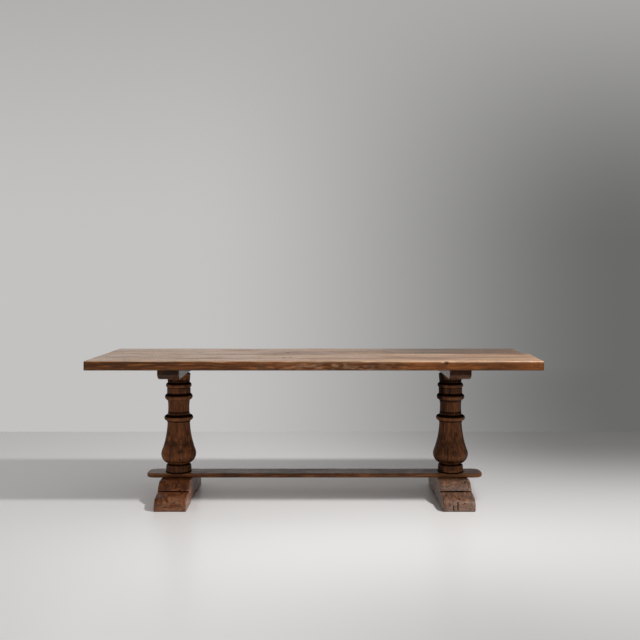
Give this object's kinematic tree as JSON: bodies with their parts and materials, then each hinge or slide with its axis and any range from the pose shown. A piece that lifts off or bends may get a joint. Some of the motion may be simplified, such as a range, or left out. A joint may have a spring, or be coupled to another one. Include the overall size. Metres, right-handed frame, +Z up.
{
  "type": "refectory table",
  "caption": "Long plank-topped refectory table on turned baluster columns with sled feet, joined by one low flat stretcher, for dining.",
  "frame": {"origin": "on the floor under the middle of the top", "axes": "+X along the table to the right, -Y towards the viewer at the front, +Z up"},
  "size_m": [2.336, 0.78, 0.779],
  "materials": {
    "top_oak": "worn waxed oak, satin",
    "column_oak": "dark waxed oak, satin",
    "bearer_oak": "dark oak, dull",
    "stretcher_oak": "worn waxed oak, satin",
    "foot_oak": "scuffed waxed oak, dull",
    "joinery_oak": "bare oak",
    "screw_iron": "dull dark steel"
  },
  "bodies": {
    "root": {"top_plank_front": "top_oak", "top_plank_back": "top_oak", "top_loose_tenons": "joinery_oak", "top_tenon_pegs": "joinery_oak", "stretcher": "stretcher_oak", "bearer_left": "bearer_oak", "bearer_screws_left": "screw_iron", "bearer_washers_left": "screw_iron", "column_left": "column_oak", "head_wedge_left": "joinery_oak", "foot_left": "foot_oak", "foot_peg_left": "joinery_oak", "bearer_right": "bearer_oak", "bearer_screws_right": "screw_iron", "bearer_washers_right": "screw_iron", "column_right": "column_oak", "head_wedge_right": "joinery_oak", "foot_right": "foot_oak", "foot_peg_right": "joinery_oak"}
  },
  "joints": []
}
